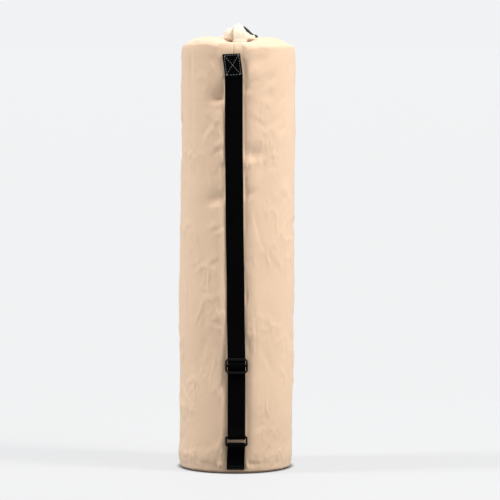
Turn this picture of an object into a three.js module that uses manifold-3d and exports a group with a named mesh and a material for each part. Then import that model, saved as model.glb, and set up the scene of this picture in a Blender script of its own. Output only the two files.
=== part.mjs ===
// A tall round canvas bag for a rolled exercise mat. It stands on its round base, and a drawstring
// gathers its mouth into a ruffled neck near the front. A black webbing strap runs down the front
// from a sewn end to a ring at the foot, and a three-bar slider takes up its length.
import * as THREE from 'three';
import { mergeVertices } from 'three/addons/utils/BufferGeometryUtils.js';
import Module from 'manifold-3d';

const wasm = await Module();
wasm.setup();

// Sizes in millimetres. X runs to the right, Y to the back and Z up; the front faces -Y.

// Cloth shell
const bagDiameter = 163;
const clothThickness = 1.5;
const baseRimHeight = 5; // the bottom seam above the floor
const rimHeight = 594; // where the cloth begins to turn over the mat's end
const domeHeight = 22; // rise of the gathered top above it
const frontPress = 3.2; // how deep the tight strap presses into the front
const pressHalfWidth = 22;
const pressSteepness = 8; // larger makes a flatter bed with steeper sides
const pressFoot = 45; // height where the press is full; it fades to the bottom seam
const shoulderBulge = 1.6; // cloth swelling beside the strap
const shoulderPlace = 26; // from the strap's middle
const shoulderSpread = 12;
const bedSag = 1.4; // how far behind the round of the cloth the strap's bed lies at the bottom seam

// Gathered neck
const neckX = 5.6; // right of the base's middle
const neckSetBack = 32.5; // from the bag's front to the neck's middle
const neckRadius = 22;
const throatRadius = 11; // outside of the folds' valleys
const crestFullness = 0.3; // smaller makes rounder crests and sharper valleys
const crestRise = 0.06; // share by which a crest's top stands above the valleys beside it
const neckHeight = 25;
const neckLift = 15.5; // its foot above the rim
const tunnelThickness = 0.9; // extra cloth where the hem is turned over

// Round base
const baseEdgeReach = 5.3; // how far in from the seam the base begins to turn up
const baseSides = 40;
const baseTurnSteps = 5; // facets of its turned-up edge
const seamGap = 0.3;

// Strap webbing and its plastic parts
const webWidth = 25;
const webThickness = 1.3;
const layerGap = 0.35;
const strapTopDrop = 0.5; // below the rim
const boxStitchLength = 30;
const footFold = 0.7; // from the bottom seam up to the end of the web
const sliderHeight = 154; // middle of the slider above the floor
const sliderTall = 22.2;
const sliderWide = 32;
const sliderThick = 3;
const sliderChamfer = 3.5;
const outerBar = 3.5;
const slotCorner = 0.8;
const centreBarTall = 3.2;
const centreBarThick = 2.2;
const centreBarSetBack = 1; // behind the frame's back face
const centreBarCorner = 0.55;
const ringHeight = 46.8; // middle of the ring above the floor
const ringTall = 14.7;
const ringWide = 31.6;
const ringBar = 3.5;
const ringCorner = 1.4;
const ringSlack = 0.55; // between its bars and the web round them
const slotPlay = 0.7; // beside the webbing in a slot
const edgeRound = 0.6;
const ringRound = 1.1;
const tailLength = 12; // sewn end behind the slider
const strapLift = 46; // length above the slider over which the strap rises off the cloth
const strapFall = 20; // length below the slider over which it settles on the sewn end's layer
const doubledEase = 9; // length over which the doubled end thins to one layer
const barWrapSlack = 0.5; // between the centre bar and the end sewn round it

// Drawstring
const cordDiameter = 4;
const cordSides = 8;
const cordSteps = 80;
const stopLength = 17;
const stopWidth = 17;
const stopThick = 8;
const stopTurn = 164; // round the bag from the front, in degrees
const stopHeight = 566;
const stopGap = 0.4; // between it and the cloth
const cordSpacing = 6.6; // between the two runs in the stop
const cordPlay = 0.35; // round the cord in the stop's bores
const stopSides = 20;
const boreSides = 16;

const bagRadius = bagDiameter / 2;
const neckY = neckSetBack - bagRadius;
const neckFootHeight = rimHeight + neckLift;
const strapTop = rimHeight - strapTopDrop;
const wallFoot = baseRimHeight + seamGap;
const strapFoot = wallFoot + footFold;
const columns = 66;
const frontDensity = 0.5; // share by which the columns crowd to the front
const degrees = Math.PI / 180;

// Girth is a share of the bag's radius, sway a share of it to the right, and height a share of the
// rim's.
const wallSections = [
  { height: 0.009, girth: 0.985, sway: 0.0 },
  { height: 0.033, girth: 1.0, sway: 0.0 },
  { height: 0.066, girth: 0.991, sway: 0.012 },
  { height: 0.135, girth: 0.996, sway: 0.022 },
  { height: 0.215, girth: 0.998, sway: 0.026 },
  { height: 0.3, girth: 1.004, sway: 0.027 },
  { height: 0.39, girth: 1.016, sway: 0.023 },
  { height: 0.475, girth: 1.012, sway: 0.025 },
  { height: 0.56, girth: 1.006, sway: 0.031 },
  { height: 0.645, girth: 1.002, sway: 0.038 },
  { height: 0.73, girth: 0.996, sway: 0.045 },
  { height: 0.81, girth: 0.995, sway: 0.05 },
  { height: 0.88, girth: 1.001, sway: 0.056 },
  { height: 0.94, girth: 1.004, sway: 0.05 },
];

// Soft dents and swellings of the wall: the angle round the bag from the front, in degrees, and its
// spread; height and its spread as shares of the rim's; depth as a share of the bag's radius, inwards.
const wallDents = [
  { angle: 24, spread: 13, height: 0.745, rise: 0.035, depth: 0.022 },
  { angle: 34, spread: 14, height: 0.87, rise: 0.05, depth: 0.014 },
  { angle: 50, spread: 20, height: 0.8, rise: 0.05, depth: -0.01 },
  { angle: -21, spread: 11, height: 0.885, rise: 0.04, depth: 0.02 },
  { angle: -24, spread: 13, height: 0.65, rise: 0.04, depth: 0.014 },
  { angle: -56, spread: 12, height: 0.93, rise: 0.06, depth: 0.012 },
  { angle: 66, spread: 15, height: 0.07, rise: 0.03, depth: 0.014 },
  { angle: -125, spread: 22, height: 0.78, rise: 0.06, depth: 0.02 },
  { angle: 170, spread: 24, height: 0.6, rise: 0.08, depth: 0.018 },
  { angle: 118, spread: 20, height: 0.42, rise: 0.07, depth: 0.014 },
];

// Where the strap's middle runs: the height as a share of the rim's, and how far right of the base's
// middle as a share of the bag's radius.
const strapCourse = [
  { height: 0.013, right: 0.007 },
  { height: 0.081, right: 0.022 },
  { height: 0.259, right: 0.025 },
  { height: 0.404, right: 0.01 },
  { height: 0.64, right: -0.01 },
  { height: 0.808, right: -0.021 },
  { height: 0.943, right: -0.02 },
  { height: 1.003, right: -0.064 },
];

// Rings of the top from the rim to the neck's foot: the way in, as a share; the height above the rim at the
// front, left, right and back, as shares of the dome's; and how far the folds have formed.
const topSections = [
  { way: 0.01, front: 0.2, left: 0.27, right: 0.26, back: 0.25, folds: 0.0 },
  { way: 0.04, front: 0.28, left: 0.48, right: 0.41, back: 0.41, folds: 0.02 },
  { way: 0.085, front: 0.32, left: 0.6, right: 0.51, back: 0.5, folds: 0.06 },
  { way: 0.15, front: 0.37, left: 0.73, right: 0.59, back: 0.57, folds: 0.12 },
  { way: 0.25, front: 0.42, left: 0.85, right: 0.68, back: 0.65, folds: 0.22 },
  { way: 0.4, front: 0.48, left: 0.95, right: 0.83, back: 0.78, folds: 0.4 },
  { way: 0.6, front: 0.54, left: 0.97, right: 0.92, back: 0.94, folds: 0.7 },
  { way: 0.8, front: 0.6, left: 0.84, right: 0.84, back: 1.02, folds: 0.7 },
  { way: 0.93, front: 0.65, left: 0.72, right: 0.72, back: 0.88, folds: 0.35 },
];
const foldLift = 4;

// Rings of the neck: height and width as shares of the neck's, and how much of the hem's thickness it has.
const neckSections = [
  { height: 0.0, width: 0.95, hem: 0 },
  { height: 0.12, width: 0.97, hem: 0 },
  { height: 0.17, width: 0.98, hem: 1 },
  { height: 0.42, width: 1.0, hem: 1 },
  { height: 0.7, width: 0.95, hem: 1 },
  { height: 0.94, width: 0.88, hem: 1 },
  { height: 1.0, width: 0.84, hem: 0.2 },
];

// The gathers: each crest's angle round the neck from the front, in degrees, how far it stands out, how much
// it narrows upwards and its height, as shares.
const gathers = [
  { angle: 0, reach: 1.04, taper: 0.1, top: 1.01 },
  { angle: 59, reach: 1.14, taper: 0.45, top: 0.5 },
  { angle: 97, reach: 1.1, taper: 0.35, top: 0.36 },
  { angle: 135, reach: 1.0, taper: 0.25, top: 0.34 },
  { angle: 175, reach: 0.95, taper: 0.2, top: 0.36 },
  { angle: 216, reach: 1.0, taper: 0.2, top: 0.4 },
  { angle: 257, reach: 0.97, taper: 0.15, top: 0.44 },
  { angle: 298, reach: 1.06, taper: 0.06, top: 0.63 },
];

const canvas = new THREE.MeshStandardMaterial({ color: 0xdcbf9f, roughness: 0.92, metalness: 0 });
const webbing = new THREE.MeshStandardMaterial({ color: 0x0d0d0f, roughness: 0.85, metalness: 0 });
const plastic = new THREE.MeshStandardMaterial({ color: 0x111113, roughness: 0.45, metalness: 0 });

// A value between the rows of a table, eased, by its first column.
function between(rows, key, at, column) {
  let i = 0;
  while (i < rows.length - 2 && at > rows[i + 1][key]) i += 1;
  const span = rows[i + 1][key] - rows[i][key];
  const share = THREE.MathUtils.clamp((at - rows[i][key]) / span, 0, 1);
  return THREE.MathUtils.lerp(rows[i][column], rows[i + 1][column], share * share * (3 - 2 * share));
}

// How far the cloth stands out beyond a plain cylinder, from the dents.
function dentDepth(angle, height) {
  let depth = 0;
  for (const d of wallDents) {
    const turn = (((angle / degrees - d.angle + 540) % 360) - 180) / d.spread;
    const climb = (height / rimHeight - d.height) / d.rise;
    depth += d.depth * bagRadius * Math.exp(-turn * turn - climb * climb);
  }
  return depth;
}

// How far in front of the axis the cloth behind the strap lies: pressed in, and out to the seam at the foot.
function bedReach(height) {
  const full = bagRadius - frontPress;
  const foot = bagRadius * wallSections[0].girth - bedSag;
  return THREE.MathUtils.lerp(foot, full, THREE.MathUtils.smoothstep(height, baseRimHeight, pressFoot));
}

function strapX(height) {
  return bagRadius * between(strapCourse, 'height', height / rimHeight, 'right');
}

// Presses a point of the front wall back to the strap's flat bed and swells the cloth on both sides.
function pressFront(point) {
  if (point.y > 0) return point;
  const off = Math.abs(point.x - strapX(point.z));
  const side = (off - shoulderPlace) / shoulderSpread;
  const amount = THREE.MathUtils.smoothstep(point.z, baseRimHeight, pressFoot);
  point.y -= amount * shoulderBulge * Math.exp(-side * side);
  const held = Math.exp(-((off / pressHalfWidth) ** pressSteepness));
  point.y = THREE.MathUtils.lerp(point.y, -bedReach(point.z), held);
  return point;
}

// A point of the wall's outer face.
function wallPoint(height, angle) {
  const share = height / rimHeight;
  const girth = bagRadius * between(wallSections, 'height', share, 'girth');
  const sway = bagRadius * between(wallSections, 'height', share, 'sway');
  const reach = girth - dentDepth(angle, height);
  const point = new THREE.Vector3(sway + reach * Math.sin(angle), -reach * Math.cos(angle), height);
  return pressFront(point);
}

// The gathers at an angle: the table's columns eased between crests, and 1 on a crest to 0 in a valley.
function gatherAt(angle) {
  const turn = (((angle / degrees - gathers[0].angle) % 360) + 360) % 360 + gathers[0].angle;
  let i = 0;
  while (i < gathers.length - 1 && turn >= gathers[i + 1].angle) i += 1;
  const next = gathers[(i + 1) % gathers.length];
  const nextAngle = i + 1 < gathers.length ? next.angle : next.angle + 360;
  const share = (turn - gathers[i].angle) / (nextAngle - gathers[i].angle);
  const ease = (1 - Math.cos(Math.PI * share)) / 2;
  const value = { crest: Math.pow(0.5 + 0.5 * Math.cos(2 * Math.PI * share), crestFullness) };
  for (const column of ['reach', 'taper', 'top']) {
    value[column] = THREE.MathUtils.lerp(gathers[i][column], next[column], ease);
  }
  return value;
}

// A point of the neck's outer face, at a share of its height.
function neckPoint(height, width, angle) {
  const g = gatherAt(angle);
  const crestRadius = Math.max(neckRadius * g.reach * width * (1 - g.taper * height), throatRadius);
  const radius = throatRadius + (crestRadius - throatRadius) * g.crest;
  const topShare = g.top * (1 - crestRise * (1 - g.crest));
  return new THREE.Vector3(
    neckX + radius * Math.sin(angle),
    neckY - radius * Math.cos(angle),
    neckFootHeight + neckHeight * height * (1 - (1 - topShare) * height),
  );
}

// A point of the top between the rim and the neck's foot.
function topPoint(section, angle) {
  const toFront = Math.max(Math.cos(angle), 0) ** 4;
  const toBack = Math.max(-Math.cos(angle), 0) ** 2;
  const side = Math.sin(angle) > 0 ? section.right : section.left;
  const rise = toFront * section.front + toBack * section.back + (1 - toFront - toBack) * side;
  const point = wallPoint(rimHeight, angle).lerp(neckPoint(0, neckSections[0].width, angle), section.way);
  point.z = rimHeight + domeHeight * rise + foldLift * section.folds * (gatherAt(angle).crest - 0.5);
  return point;
}

// The angle of a column round the bag from the front; the columns crowd to the front.
function columnAngle(j) {
  const turn = (2 * Math.PI * j) / columns;
  return turn - frontDensity * Math.sin(turn);
}

// The rings of the shell's outer face, from the bottom seam to the mouth, without the hem's thickness.
function shellRings() {
  const rings = [];
  const ring = (make) => rings.push(Array.from({ length: columns }, (_, j) => make(columnAngle(j))));
  ring((angle) => wallPoint(wallFoot, angle));
  for (const section of wallSections.slice(1)) ring((angle) => wallPoint(section.height * rimHeight, angle));
  ring((angle) => wallPoint(rimHeight, angle));
  for (const section of topSections) ring((angle) => topPoint(section, angle));
  for (const section of neckSections) ring((angle) => neckPoint(section.height, section.width, angle));
  return rings;
}

// The outward direction at each point of a stack of rings.
function ringNormals(rings) {
  return rings.map((ring, i) =>
    ring.map((point, j) => {
      const around = ring[(j + 1) % columns].clone().sub(ring[(j + columns - 1) % columns]);
      const up = rings[Math.min(i + 1, rings.length - 1)][j].clone().sub(rings[Math.max(i - 1, 0)][j]);
      return around.cross(up).normalize();
    }),
  );
}

// Joins rings, each to the next and the last to the first, into one closed skin.
function closedSkin(rings) {
  const positions = rings.flat().flatMap((p) => [p.x, p.y, p.z]);
  const index = [];
  rings.forEach((ring, i) => {
    const below = i * columns;
    const above = ((i + 1) % rings.length) * columns;
    for (let j = 0; j < columns; j += 1) {
      const next = (j + 1) % columns;
      index.push(below + j, below + next, above + next, below + j, above + next, above + j);
    }
  });
  const geometry = new THREE.BufferGeometry();
  geometry.setAttribute('position', new THREE.Float32BufferAttribute(positions, 3));
  geometry.setIndex(index);
  geometry.computeVertexNormals();
  return geometry;
}

function shellGeometry() {
  const bare = shellRings();
  const normals = ringNormals(bare);
  const firstNeck = bare.length - neckSections.length;
  const outer = bare.map((ring, i) =>
    ring.map((point, j) => {
      const hem = i < firstNeck ? 0 : neckSections[i - firstNeck].hem;
      const crest = gatherAt(columnAngle(j)).crest;
      return point.clone().addScaledVector(normals[i][j], tunnelThickness * hem * crest);
    }),
  );
  const inner = bare.map((ring, i) =>
    ring.map((point, j) => point.clone().addScaledVector(normals[i][j], -clothThickness)),
  );
  inner[0].forEach((point) => {
    point.z = wallFoot;
  });
  return closedSkin([...outer, ...inner.reverse()]);
}

// The round base: flat on the floor, with its edge turned up to the bottom seam.
function baseGeometry() {
  const seamRadius = bagRadius * wallSections[0].girth;
  const flatRadius = seamRadius - baseEdgeReach;
  const outline = [new THREE.Vector2(0, 0)];
  for (let i = 0; i <= baseTurnSteps; i += 1) {
    const bend = (Math.PI / 2) * (i / baseTurnSteps);
    const rise = baseRimHeight * (1 - Math.cos(bend));
    outline.push(new THREE.Vector2(flatRadius + baseEdgeReach * Math.sin(bend), rise));
  }
  for (let i = baseTurnSteps; i >= 0; i -= 1) {
    const bend = (Math.PI / 2) * (i / baseTurnSteps);
    const inReach = (baseEdgeReach - clothThickness) * Math.sin(bend);
    const inRise = (baseRimHeight - clothThickness) * Math.cos(bend);
    outline.push(new THREE.Vector2(flatRadius + inReach, baseRimHeight - inRise));
  }
  outline.push(new THREE.Vector2(0, clothThickness));
  return new THREE.LatheGeometry(outline, baseSides);
}

// Turns a shape drawn in the side view, and extruded along its third axis, to run across the bag.
const sideToFront = new THREE.Matrix4().makeBasis(
  new THREE.Vector3(0, 1, 0),
  new THREE.Vector3(0, 0, 1),
  new THREE.Vector3(1, 0, 0),
);

// A flat band of webbing: its side view follows a path of (distance in front of the bed, height).
function bandGeometry(path) {
  const half = webThickness / 2;
  const left = [];
  const right = [];
  path.forEach((point, i) => {
    const before = path[Math.max(i - 1, 0)];
    const after = path[Math.min(i + 1, path.length - 1)];
    const into = point.clone().sub(before);
    const out = after.clone().sub(point);
    if (into.lengthSq() === 0) into.copy(out);
    if (out.lengthSq() === 0) out.copy(into);
    const along = into.normalize().add(out.normalize()).normalize();
    const across = new THREE.Vector2(-along.y, along.x);
    const stretch = half / Math.max(Math.cos(across.angleTo(new THREE.Vector2(-out.y, out.x))), 0.5);
    left.push(point.clone().addScaledVector(across, stretch));
    right.push(point.clone().addScaledVector(across, -stretch));
  });
  const outline = [...left, ...right.reverse()].map((p) => new THREE.Vector2(-bedReach(p.y) - p.x, p.y));
  const side = new THREE.Shape(outline);
  const geometry = new THREE.ExtrudeGeometry(side, { depth: webWidth, bevelEnabled: false });
  geometry.translate(0, 0, -webWidth / 2);
  geometry.applyMatrix4(sideToFront);
  const position = geometry.getAttribute('position');
  for (let i = 0; i < position.count; i += 1) {
    position.setX(i, position.getX(i) + strapX(position.getZ(i)));
  }
  return geometry;
}

// Points of an arc in the side view, from one angle to another in degrees, 0 pointing away from the bag.
function arcPath(front, height, radiusFront, radiusHeight, from, to, steps = 6) {
  return Array.from({ length: steps + 1 }, (_, i) => {
    const turn = (from + ((to - from) * i) / steps) * degrees;
    return new THREE.Vector2(front + radiusFront * Math.cos(turn), height + radiusHeight * Math.sin(turn));
  });
}

// Layers of webbing in front of the cloth, counted from the cloth outwards.
const layerPitch = webThickness + layerGap;
const firstLayer = layerGap + webThickness / 2;
const secondLayer = firstLayer + layerPitch;
const thirdLayer = secondLayer + layerPitch;
const sliderBack = thirdLayer + webThickness / 2 + layerGap;
// The middle of the slider's centre bar
const centreBarFront = sliderBack + centreBarThick / 2 - centreBarSetBack;
const centreBarReach = centreBarThick / 2 + barWrapSlack + webThickness / 2; // from it to the web round it
const overBar = centreBarFront + centreBarReach + layerPitch; // web that slides over the centre bar
const ringReach = ringBar / 2 + ringSlack + webThickness / 2; // from the ring's bar to the web round it
const ringFront = firstLayer + ringReach;
const slotTall = (sliderTall - 2 * outerBar - centreBarTall) / 2;
const ringBarUp = ringTall / 2 - ringBar / 2;

const at = (front, height) => new THREE.Vector2(front, height);

// The strap: from its folded and sewn end at the top down to the slider, over the centre bar, down to the
// ring, round its upper bar and back up to the centre bar, where it's sewn to itself.
function strapGeometry() {
  const sliderTop = sliderHeight + sliderTall / 2;
  const sliderFoot = sliderHeight - sliderTall / 2;
  const barHalf = centreBarTall / 2;
  const wrapReach = barHalf + barWrapSlack + webThickness / 2;
  const wrapMiddle = (firstLayer + centreBarFront + centreBarReach) / 2;
  const crossing = barHalf + slotTall - webThickness / 2;
  const easing = slotTall / 2;
  const foldTop = strapTop - layerPitch;
  const path = [
    at(firstLayer, strapTop - boxStitchLength),
    at(firstLayer, foldTop),
    ...arcPath(firstLayer + layerPitch / 2, foldTop, layerPitch / 2, layerPitch / 2, 150, 30, 4),
    at(secondLayer, foldTop),
    at(secondLayer, strapTop - boxStitchLength - webThickness),
    at(firstLayer, strapTop - boxStitchLength - doubledEase),
    at(firstLayer, sliderTop + strapLift),
    at(thirdLayer, sliderTop + layerPitch),
    at(thirdLayer, sliderHeight + crossing),
    at(overBar - layerGap, sliderHeight + easing),
    at(overBar, sliderHeight + barHalf),
    at(overBar, sliderHeight - barHalf),
    at(overBar - layerGap, sliderHeight - easing),
    at(thirdLayer, sliderHeight - crossing),
    at(thirdLayer, sliderFoot - tailLength / 2),
    at(secondLayer, sliderFoot - strapFall),
    at(secondLayer, ringHeight + ringTall + ringBar),
    at(ringFront + ringReach, ringHeight + ringBarUp + ringBar),
    ...arcPath(ringFront, ringHeight + ringBarUp, ringReach, ringReach, 0, -180, 10),
    at(firstLayer, ringHeight + ringTall),
    at(firstLayer, sliderHeight - barHalf),
    ...arcPath(
      wrapMiddle,
      sliderHeight + barWrapSlack,
      centreBarFront + centreBarReach - wrapMiddle,
      wrapReach,
      180,
      0,
      10,
    ),
    ...arcPath(centreBarFront, sliderHeight, centreBarReach, wrapReach, -20, -100, 4),
    at(secondLayer, sliderHeight - wrapReach - layerPitch),
    at(secondLayer, sliderHeight - wrapReach - tailLength),
  ];
  return bandGeometry(path);
}

// The short web at the foot: both ends at the bottom seam, round the ring's lower bar.
function anchorGeometry() {
  const bar = ringHeight - ringBarUp;
  const path = [
    at(firstLayer, strapFoot),
    at(firstLayer, bar - ringBar / 4),
    ...arcPath(ringFront, bar, ringReach, ringReach, 180, 0, 10),
    at(ringFront + ringReach, bar - ringBar),
    at(secondLayer, bar - ringTall),
    at(secondLayer, strapFoot),
  ];
  return bandGeometry(path);
}

function toManifold(geometry) {
  const bare = geometry.clone();
  bare.deleteAttribute('normal');
  bare.deleteAttribute('uv');
  const merged = mergeVertices(bare, 1e-4);
  return new wasm.Manifold(
    new wasm.Mesh({
      numProp: 3,
      vertProperties: new Float32Array(merged.getAttribute('position').array),
      triVerts: new Uint32Array(merged.getIndex().array),
    }),
  );
}

function fromManifold(solid) {
  const mesh = solid.getMesh();
  const geometry = new THREE.BufferGeometry();
  geometry.setAttribute('position', new THREE.BufferAttribute(mesh.vertProperties, 3));
  geometry.setIndex(new THREE.BufferAttribute(mesh.triVerts, 1));
  geometry.computeVertexNormals();
  return geometry;
}

// A rectangle with cut corners, as a shape or as a hole's path.
function cornered(wide, tall, cut, made) {
  const x = wide / 2;
  const y = tall / 2;
  made.moveTo(x - cut, -y).lineTo(x, -y + cut).lineTo(x, y - cut).lineTo(x - cut, y);
  made.lineTo(-x + cut, y).lineTo(-x, y - cut).lineTo(-x, -y + cut).lineTo(-x + cut, -y);
  made.closePath();
  return made;
}

// A flat frame with rounded edges that faces the front, its back at a distance from the cloth.
function frameGeometry(wide, tall, thick, cut, openTall, round, back) {
  const outline = cornered(wide - 2 * round, tall - 2 * round, cut, new THREE.Shape());
  const openWide = webWidth + 2 * slotPlay;
  outline.holes.push(cornered(openWide + 2 * round, openTall + 2 * round, slotCorner, new THREE.Path()));
  const geometry = new THREE.ExtrudeGeometry(outline, {
    depth: thick - 2 * round,
    bevelThickness: round,
    bevelSize: round,
    bevelSegments: 3,
  });
  geometry.translate(0, 0, round);
  geometry.rotateX(Math.PI / 2);
  geometry.translate(0, -back, 0);
  return geometry;
}

// The slider: a frame with a centre bar set back, so that the doubled web passes over it.
function sliderGeometry() {
  const openTall = sliderTall - 2 * outerBar;
  const frame = frameGeometry(
    sliderWide,
    sliderTall,
    sliderThick,
    sliderChamfer,
    openTall,
    edgeRound,
    sliderBack,
  );
  const section = cornered(centreBarThick, centreBarTall, centreBarCorner, new THREE.Shape());
  const length = webWidth + 2 * slotPlay + outerBar / 2;
  const bar = new THREE.ExtrudeGeometry(section, { depth: length, bevelEnabled: false });
  bar.translate(-centreBarFront, 0, -length / 2);
  bar.applyMatrix4(sideToFront);
  return fromManifold(toManifold(frame).add(toManifold(bar)));
}

function ringGeometry() {
  const openTall = ringTall - 2 * ringBar;
  return frameGeometry(ringWide, ringTall, ringBar, ringCorner, openTall, ringRound, ringFront - ringBar / 2);
}

// The loop of drawstring outside the tunnel, from where it leaves the neck to where it goes back in.
const cordRoute = [
  [5.2, -66.3, 626.8],
  [7.5, -57, 629.8],
  [12, -48.5, 630],
  [17, -38.5, 626.3],
  [21.5, -28, 622],
  [25.6, -15, 618.8],
  [28.8, -1, 618.4],
  [30.3, 10, 617.6],
  [31, 22, 615.4],
  [31, 42, 611.4],
  [30.5, 60, 608.9],
  [30.3, 70, 606.8],
  [30.3, 77, 603.4],
  [30.3, 79.8, 596.5],
  [30.5, 81, 588],
  [31.1, 82, 577],
  [31.1, 82, 566],
  [31.1, 82, 555],
  [31.5, 80, 543],
  [33.8, 78.8, 525],
  [35.8, 77.8, 505],
  [36.2, 77.4, 493],
  [36.2, 77.5, 484],
  [34.2, 78.6, 477.4],
  [28.5, 80.4, 473.2],
  [21.5, 82.2, 473.2],
  [15.8, 83.5, 477.4],
  [13.8, 83.4, 484],
  [13.8, 83.3, 493],
  [15, 83.2, 505],
  [18.5, 83, 525],
  [22.4, 82.6, 543],
  [24.7, 83.8, 555],
  [24.7, 83.8, 566],
  [24.7, 83.8, 577],
  [24.1, 82.5, 588],
  [24, 81.5, 596.5],
  [24.2, 78.8, 603.6],
  [24.3, 71.2, 607.3],
  [24.3, 60, 609.6],
  [24.5, 42, 612.4],
  [24, 20, 615.3],
  [22.5, 0, 617.4],
  [18, -16, 619],
  [12, -32, 622],
  [8, -46, 624.2],
  [5.6, -56, 623.8],
  [5.3, -68.2, 620],
];

function cordGeometry() {
  const points = cordRoute.map((place) => new THREE.Vector3(...place));
  const curve = new THREE.CatmullRomCurve3(points, false, 'centripetal');
  const section = new THREE.Shape();
  for (let i = 0; i < cordSides; i += 1) {
    const turn = (2 * Math.PI * i) / cordSides;
    const x = (cordDiameter / 2) * Math.cos(turn);
    const y = (cordDiameter / 2) * Math.sin(turn);
    if (i === 0) section.moveTo(x, y);
    else section.lineTo(x, y);
  }
  section.closePath();
  return new THREE.ExtrudeGeometry(section, { steps: cordSteps, extrudePath: curve, bevelEnabled: false });
}

// The stop that grips both runs of the drawstring, hanging on the back.
function stopGeometry() {
  const body = new THREE.CylinderGeometry(stopThick / 2, stopThick / 2, stopLength, stopSides);
  body.scale(stopWidth / stopThick, 1, 1);
  body.rotateX(Math.PI / 2);
  let solid = toManifold(body);
  for (const side of [-1, 1]) {
    const boreRadius = cordDiameter / 2 + cordPlay;
    const bore = new THREE.CylinderGeometry(boreRadius, boreRadius, stopLength * 2, boreSides);
    bore.rotateX(Math.PI / 2);
    bore.translate((side * cordSpacing) / 2, 0, 0);
    solid = solid.subtract(toManifold(bore));
  }
  return fromManifold(solid);
}

function piece(name, geometry, material) {
  const mesh = new THREE.Mesh(geometry, material);
  mesh.name = name;
  return mesh;
}

const bag = new THREE.Group();
bag.add(piece('canvas_shell', shellGeometry(), canvas));

const base = piece('base_panel', baseGeometry(), canvas);
base.rotation.x = Math.PI / 2;
bag.add(base);

bag.add(piece('shoulder_strap', strapGeometry(), webbing));
bag.add(piece('anchor_web', anchorGeometry(), webbing));

const slider = piece('strap_slider', sliderGeometry(), plastic);
slider.position.set(strapX(sliderHeight), -bedReach(sliderHeight), sliderHeight);
bag.add(slider);

const ring = piece('strap_ring', ringGeometry(), plastic);
ring.position.set(strapX(ringHeight), -bedReach(ringHeight), ringHeight);
bag.add(ring);

bag.add(piece('drawstring', cordGeometry(), webbing));

const stop = piece('cord_stop', stopGeometry(), plastic);
const outwards = new THREE.Vector3(Math.sin(stopTurn * degrees), -Math.cos(stopTurn * degrees), 0);
const stopPlace = wallPoint(stopHeight, stopTurn * degrees);
stopPlace.addScaledVector(outwards, stopThick / 2 + stopGap);
stop.position.copy(stopPlace);
stop.rotation.z = stopTurn * degrees;
bag.add(stop);

export default bag;
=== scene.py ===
# A tall round canvas bag for a rolled exercise mat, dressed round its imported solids.
import math
import random

import bmesh
import bpy
import numpy as np
from mathutils.bvhtree import BVHTree
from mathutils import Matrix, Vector, noise


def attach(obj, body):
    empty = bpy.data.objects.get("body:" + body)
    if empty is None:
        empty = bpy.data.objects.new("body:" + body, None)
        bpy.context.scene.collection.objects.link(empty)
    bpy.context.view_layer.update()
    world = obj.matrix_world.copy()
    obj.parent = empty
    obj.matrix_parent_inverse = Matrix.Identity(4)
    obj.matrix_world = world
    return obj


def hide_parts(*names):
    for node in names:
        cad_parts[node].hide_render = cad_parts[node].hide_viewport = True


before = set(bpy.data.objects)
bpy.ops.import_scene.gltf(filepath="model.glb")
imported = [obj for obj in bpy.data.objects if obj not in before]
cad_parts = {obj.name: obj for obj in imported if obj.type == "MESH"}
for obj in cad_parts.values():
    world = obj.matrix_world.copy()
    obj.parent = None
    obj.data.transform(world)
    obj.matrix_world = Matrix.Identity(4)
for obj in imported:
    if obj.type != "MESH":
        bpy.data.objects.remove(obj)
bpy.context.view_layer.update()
scene = bpy.context.scene
mm = 0.001
print("frame loaded:", sorted(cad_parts))

# camera, placed as in the photograph
cameraSet = {
    "place": (0.02106, -4.1, 0.607),  # metres; the view is level with the bag's upper end
    "down": math.atan(206 / 2862),  # radians below level
    "lens": 206.1,
}
camera = bpy.data.objects.new("camera", bpy.data.cameras.new("camera"))
camera.location = cameraSet["place"]
camera.rotation_euler = (math.pi / 2 - cameraSet["down"], 0, 0)
camera.data.lens = cameraSet["lens"]
camera.data.sensor_width = 36
scene.collection.objects.link(camera)
scene.camera = camera
scene.view_settings.view_transform = "Standard"


# helpers that several pieces share
def stepped(value, low, high):
    share = np.clip((value - low) / (high - low), 0, 1)
    return share * share * (3 - 2 * share)


def betweenRows(rows, value, column):  # a table's keys and values, the row before each value, how far past it
    keys = np.array([row[0] for row in rows])
    values = np.array([row[column] for row in rows])
    value = np.asarray(value, float)
    i = np.clip(np.searchsorted(keys, value, side="right") - 1, 0, len(keys) - 2)
    return keys, values, i, np.clip((value - keys[i]) / (keys[i + 1] - keys[i]), 0, 1)


def easedColumn(rows, value, column):  # eases from row to row, level at each
    keys, values, i, share = betweenRows(rows, value, column)
    return values[i] + (values[i + 1] - values[i]) * stepped(share, 0, 1)


def curvedColumn(rows, value, column):  # a smooth curve through the rows
    keys, values, i, t = betweenRows(rows, value, column)
    slope = np.gradient(values, keys)
    span = keys[i + 1] - keys[i]
    return (
        (2 * t**3 - 3 * t**2 + 1) * values[i]
        + (t**3 - 2 * t**2 + t) * span * slope[i]
        + (3 * t**2 - 2 * t**3) * values[i + 1]
        + (t**3 - t**2) * span * slope[i + 1]
    )


def turnFrom(angle, where):  # degrees from a place round the bag, -180 to 180
    return (np.degrees(angle) - where + 540) % 360 - 180


def newPiece(name, bm, material, replaced=()):
    mesh = bpy.data.meshes.new(name)
    bm.to_mesh(mesh)
    bm.free()
    mesh.polygons.foreach_set("use_smooth", [True] * len(mesh.polygons))
    mesh.materials.append(material)
    piece = bpy.data.objects.new(name, mesh)
    scene.collection.objects.link(piece)
    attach(piece, "root")
    if replaced:
        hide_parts(*replaced)
    return piece


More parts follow.
